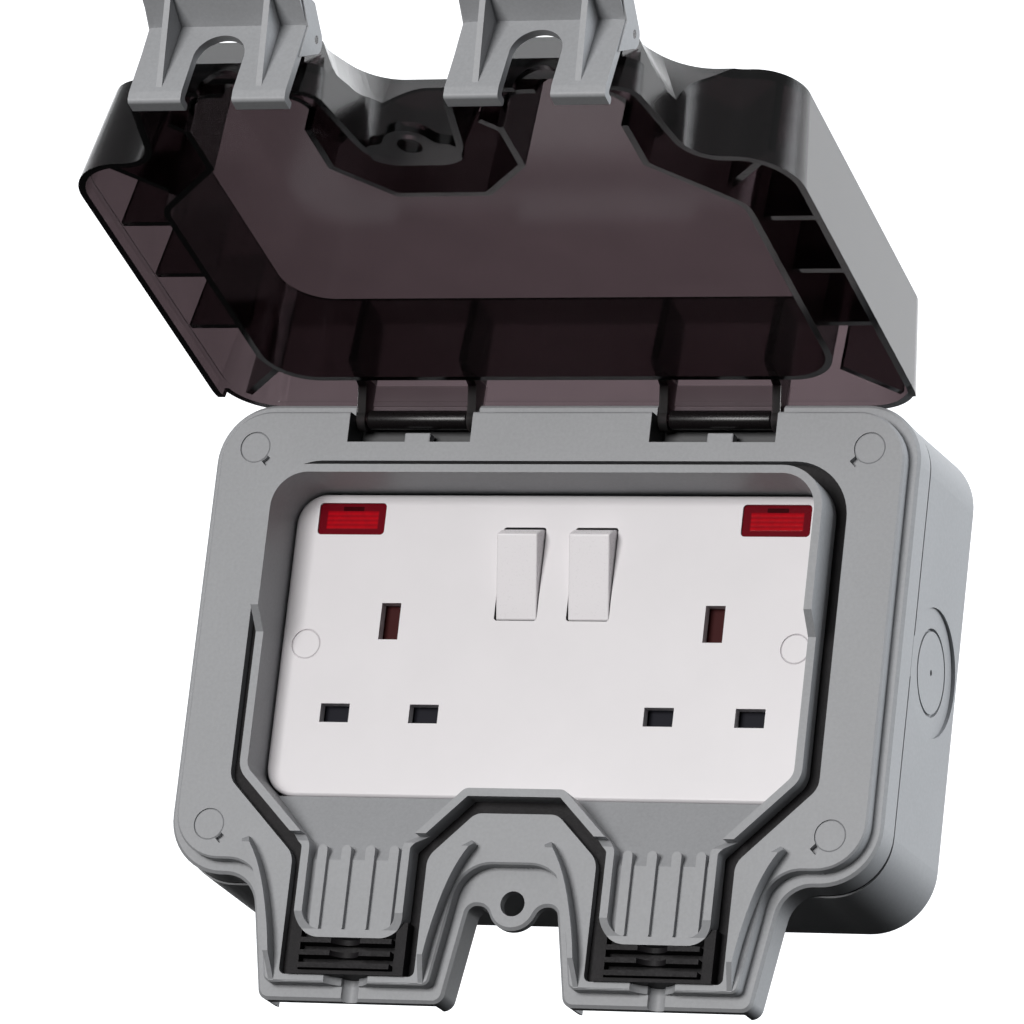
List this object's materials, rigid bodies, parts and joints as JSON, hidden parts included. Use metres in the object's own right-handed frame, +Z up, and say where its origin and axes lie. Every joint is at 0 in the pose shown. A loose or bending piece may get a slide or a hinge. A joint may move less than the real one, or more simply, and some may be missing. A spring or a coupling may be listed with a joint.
{
  "type": "outdoor socket",
  "caption": "Wall-mounted weatherproof twin socket with a smoked hinged lid, hooked latches, rubber-sealed cable outlets, rocker switches and neon windows.",
  "frame": {"origin": "centre of the back box's wall face", "axes": "+Y into the wall, +Z up, +X to the right as seen from the front"},
  "size_m": [0.1756, 0.1828, 0.1984],
  "materials": {
    "grey": "fine spark texture",
    "smoked": "smoked translucent",
    "seal": "black rubber",
    "white": "satin white",
    "cover": "plain moulded",
    "red_lens": "clear red",
    "lamp": "clear glass",
    "shutter": "dark moulded",
    "brass": "rolled strip",
    "steel": "zinc plated"
  },
  "bodies": {
    "base": {"back_box": "grey", "front_frame": "grey", "frame_screw_caps": "grey", "box_seal": "seal", "lid_seal": "seal", "left_cable_seal": "seal", "right_cable_seal": "seal", "socket_plate": "white", "plate_screw_caps": "white", "socket_rear_cover": "cover", "left_neon_lens": "red_lens", "right_neon_lens": "red_lens", "left_neon_lamp": "lamp", "right_neon_lamp": "lamp", "earth_bar": "brass", "neutral_bar": "brass", "left_line_contact": "brass", "right_line_contact": "brass", "line_feed": "brass", "left_switch_blade": "brass", "right_switch_blade": "brass", "frame_screws": "steel", "plate_screws": "steel", "cover_screw": "steel", "terminal_screws": "steel", "left_hinge_pin": "steel", "right_hinge_pin": "steel"},
    "lid": {"lid": "smoked"},
    "left_latch": {"left_latch": "grey"},
    "right_latch": {"right_latch": "grey"},
    "left_rocker": {"left_rocker": "white"},
    "right_rocker": {"right_rocker": "white"},
    "left_shutter": {"left_shutter": "shutter"},
    "right_shutter": {"right_shutter": "shutter"}
  },
  "joints": [
    {"name": "lid_hinge", "type": "hinge", "parent": "base", "child": "lid", "pos_m": [0, -0.0378, 0.0539], "axis": [1, 0, 0], "range_deg": [0, 102.9]},
    {"name": "left_latch_pivot", "type": "hinge", "parent": "lid", "child": "left_latch", "pos_m": [-0.03735, -0.16655, 0.10093], "axis": [1, 0, 0], "range_deg": [-70, 6]},
    {"name": "right_latch_pivot", "type": "hinge", "parent": "lid", "child": "right_latch", "pos_m": [0.03735, -0.16655, 0.10093], "axis": [1, 0, 0], "range_deg": [-70, 6]},
    {"name": "left_rocker_pivot", "type": "hinge", "parent": "base", "child": "left_rocker", "pos_m": [-0.0089, -0.033, 0.01735], "axis": [1, 0, 0], "range_deg": [0, 31]},
    {"name": "right_rocker_pivot", "type": "hinge", "parent": "base", "child": "right_rocker", "pos_m": [0.0089, -0.033, 0.01735], "axis": [1, 0, 0], "range_deg": [0, 31]},
    {"name": "left_shutter_slide", "type": "slide", "parent": "base", "child": "left_shutter", "axis": [0, 0, -1], "range_m": [0, 0.0065], "stiffness_N_per_m": 60, "springref_m": -0.004},
    {"name": "right_shutter_slide", "type": "slide", "parent": "base", "child": "right_shutter", "axis": [0, 0, -1], "range_m": [0, 0.0065], "stiffness_N_per_m": 60, "springref_m": -0.004}
  ]
}
